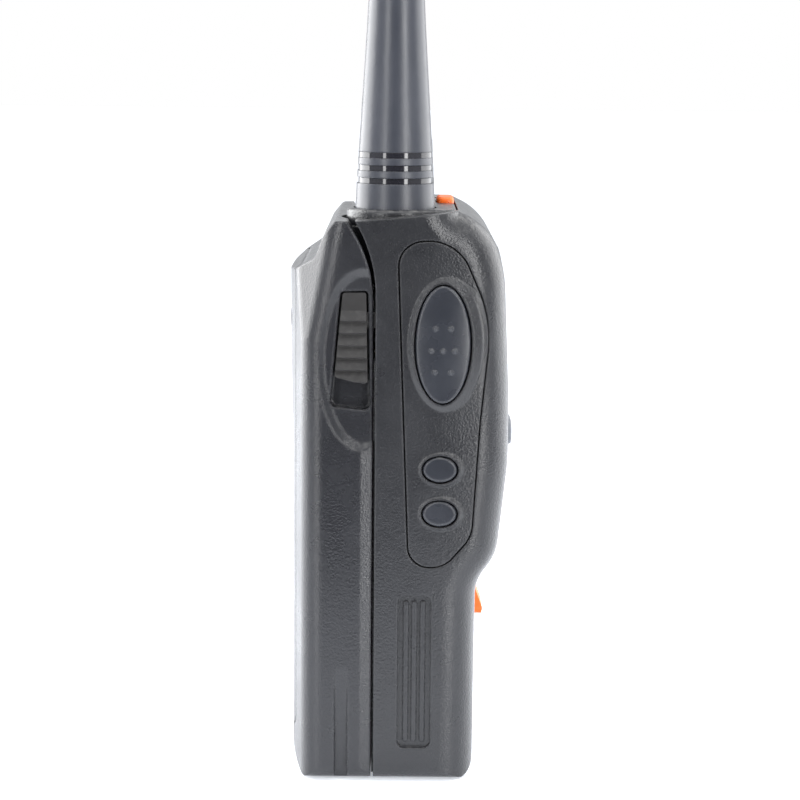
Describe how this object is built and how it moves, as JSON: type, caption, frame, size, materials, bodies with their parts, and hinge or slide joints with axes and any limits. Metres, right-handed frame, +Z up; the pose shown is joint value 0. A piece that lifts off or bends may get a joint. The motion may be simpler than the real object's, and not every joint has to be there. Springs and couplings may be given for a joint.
{
  "type": "two-way radio",
  "caption": "Hand-held two-way radio with a whip antenna, knobs on top, talk key on its side, grilled speaker face and a slide-latched battery on its back.",
  "frame": {"origin": "middle of the foot, on the surface that the radio stands on", "axes": "+Z up along the antenna, -Y out of the speaker face, -X out of the side with the talk key"},
  "size_m": [0.0572, 0.0435, 0.2592],
  "materials": {
    "case_plastic": "spark-eroded grain",
    "battery_plastic": "spark-eroded grain",
    "key_plastic": "fine satin",
    "grey_key": "satin",
    "orange_key": "satin",
    "knob_plastic": "satin rubber skin",
    "latch_plastic": "satin",
    "antenna_rubber": "satin",
    "gloss_black": "polished",
    "lens": "polished clear",
    "display_glass": "polished",
    "cover_rubber": "satin",
    "brass": "turned",
    "gold_contact": "plated",
    "steel": "plain",
    "cast_alloy": "die cast",
    "circuit_board": "solder mask",
    "board_plastic": "moulded",
    "cell_foil": "foil"
  },
  "bodies": {
    "radio": {"accessory_cover": "cover_rubber", "accessory_jacks": "board_plastic", "antenna_bands": "gloss_black", "antenna_insert": "brass", "antenna_rod": "steel", "antenna_sheath": "antenna_rubber", "antenna_socket": "brass", "badge": "gloss_black", "board_chips": "board_plastic", "channel_encoder": "steel", "chassis": "cast_alloy", "chassis_screws": "steel", "contact_block": "board_plastic", "control_board": "circuit_board", "control_board_parts": "board_plastic", "control_plate": "case_plastic", "cover_screw": "steel", "display_frame": "board_plastic", "display_lens": "lens", "display_panel": "display_glass", "dome_switches": "steel", "front_case": "case_plastic", "key_board": "circuit_board", "key_panel": "case_plastic", "light_pipe": "lens", "main_board": "circuit_board", "microphone": "steel", "shield_cans": "steel", "side_board": "circuit_board", "side_switches": "board_plastic", "speaker_cone": "board_plastic", "speaker_frame": "steel", "speaker_grille": "case_plastic", "speaker_magnet": "steel", "spring_contacts": "gold_contact", "volume_pot": "steel"},
    "battery_pack": {"battery_case": "battery_plastic", "battery_back": "battery_plastic", "battery_lid": "battery_plastic", "clip_inserts": "brass", "charging_pads": "gold_contact", "battery_contacts": "gold_contact", "protection_board": "circuit_board", "battery_cells": "cell_foil", "latch_left_spring": "steel", "latch_right_spring": "steel"},
    "left_latch": {"latch_left": "latch_plastic"},
    "right_latch": {"latch_right": "latch_plastic"},
    "talk_key": {"ptt_key": "key_plastic"},
    "upper_side_key": {"side_key_upper": "key_plastic"},
    "lower_side_key": {"side_key_lower": "key_plastic"},
    "left_menu_key": {"menu_key_left": "grey_key"},
    "middle_menu_key": {"menu_key_middle": "grey_key"},
    "right_menu_key": {"menu_key_right": "grey_key"},
    "front_alert_key": {"alert_key": "orange_key"},
    "top_emergency_key": {"emergency_key": "orange_key"},
    "channel_control": {"channel_knob": "knob_plastic", "channel_spindle": "steel"},
    "volume_control": {"volume_knob": "knob_plastic", "volume_spindle": "steel"}
  },
  "joints": [
    {"name": "battery_removal", "type": "slide", "parent": "radio", "child": "battery_pack", "axis": [0, 1, 0], "range_m": [0, 0.025]},
    {"name": "left_latch_slide", "type": "slide", "parent": "battery_pack", "child": "left_latch", "axis": [0, 0, -1], "range_m": [0, 0.0045], "stiffness_N_per_m": 500, "springref_m": -0.002, "deforming": ["latch_left_spring"]},
    {"name": "right_latch_slide", "type": "slide", "parent": "battery_pack", "child": "right_latch", "axis": [0, 0, -1], "range_m": [0, 0.0045], "stiffness_N_per_m": 500, "springref_m": -0.002, "deforming": ["latch_right_spring"]},
    {"name": "talk_key_press", "type": "slide", "parent": "radio", "child": "talk_key", "axis": [1, 0, 0], "range_m": [0, 0.001], "stiffness_N_per_m": 3000, "springref_m": -0.0005},
    {"name": "upper_side_key_press", "type": "slide", "parent": "radio", "child": "upper_side_key", "axis": [1, 0, 0], "range_m": [0, 0.0006], "stiffness_N_per_m": 3000, "springref_m": -0.0003},
    {"name": "lower_side_key_press", "type": "slide", "parent": "radio", "child": "lower_side_key", "axis": [1, 0, 0], "range_m": [0, 0.0006], "stiffness_N_per_m": 3000, "springref_m": -0.0003},
    {"name": "left_menu_key_press", "type": "slide", "parent": "radio", "child": "left_menu_key", "axis": [0, 1, 0], "range_m": [0, 0.0006], "stiffness_N_per_m": 3000, "springref_m": -0.0003},
    {"name": "middle_menu_key_press", "type": "slide", "parent": "radio", "child": "middle_menu_key", "axis": [0, 1, 0], "range_m": [0, 0.0006], "stiffness_N_per_m": 3000, "springref_m": -0.0003},
    {"name": "right_menu_key_press", "type": "slide", "parent": "radio", "child": "right_menu_key", "axis": [0, 1, 0], "range_m": [0, 0.0006], "stiffness_N_per_m": 3000, "springref_m": -0.0003},
    {"name": "alert_key_press", "type": "slide", "parent": "radio", "child": "front_alert_key", "axis": [0, 1, 0], "range_m": [0, 0.0006], "stiffness_N_per_m": 3000, "springref_m": -0.0003},
    {"name": "emergency_key_press", "type": "slide", "parent": "radio", "child": "top_emergency_key", "axis": [0, 0, -1], "range_m": [0, 0.0006], "stiffness_N_per_m": 3000, "springref_m": -0.0003},
    {"name": "channel_turn", "type": "hinge", "parent": "radio", "child": "channel_control", "pos_m": [0.0026, -0.00365, 0.1], "axis": [0, 0, -1], "range_deg": [0, 337.5]},
    {"name": "volume_turn", "type": "hinge", "parent": "radio", "child": "volume_control", "pos_m": [0.0186, -0.00365, 0.1], "axis": [0, 0, -1], "range_deg": [0, 300]}
  ]
}
